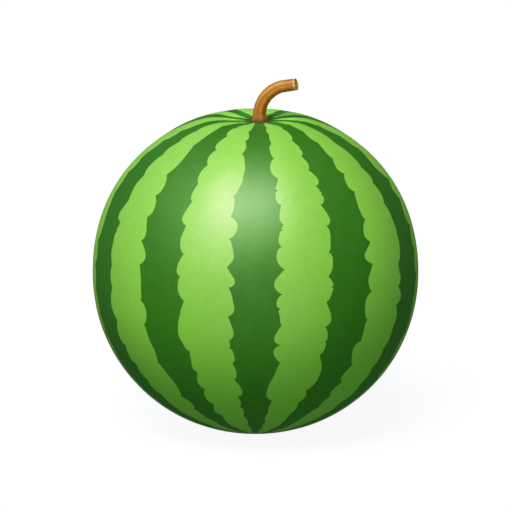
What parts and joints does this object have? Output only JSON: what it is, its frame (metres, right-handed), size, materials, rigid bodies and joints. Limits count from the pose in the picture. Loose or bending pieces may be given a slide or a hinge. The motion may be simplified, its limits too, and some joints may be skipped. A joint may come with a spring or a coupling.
{
  "type": "whole watermelon",
  "caption": "Whole round striped watermelon with a short curved cut stem in the hollow of its crown, standing on a small flat spot; a fresh fruit for still scenes.",
  "frame": {"origin": "centre of the flat resting spot, at the bottom of the fruit", "axes": "+Z from the resting spot up through the stem's hollow; -Y is the front, which one dark stripe faces; +X is the side that the stem bends towards"},
  "size_m": [0.24, 0.2396, 0.264],
  "materials": {
    "rind": "waxy satin rind, light and dark green stripes with scalloped edges",
    "stem": "dry fibrous orange-brown stem, paler at the cut"
  },
  "bodies": {
    "root": {"fruit": "rind", "stem": "stem"}
  },
  "joints": []
}
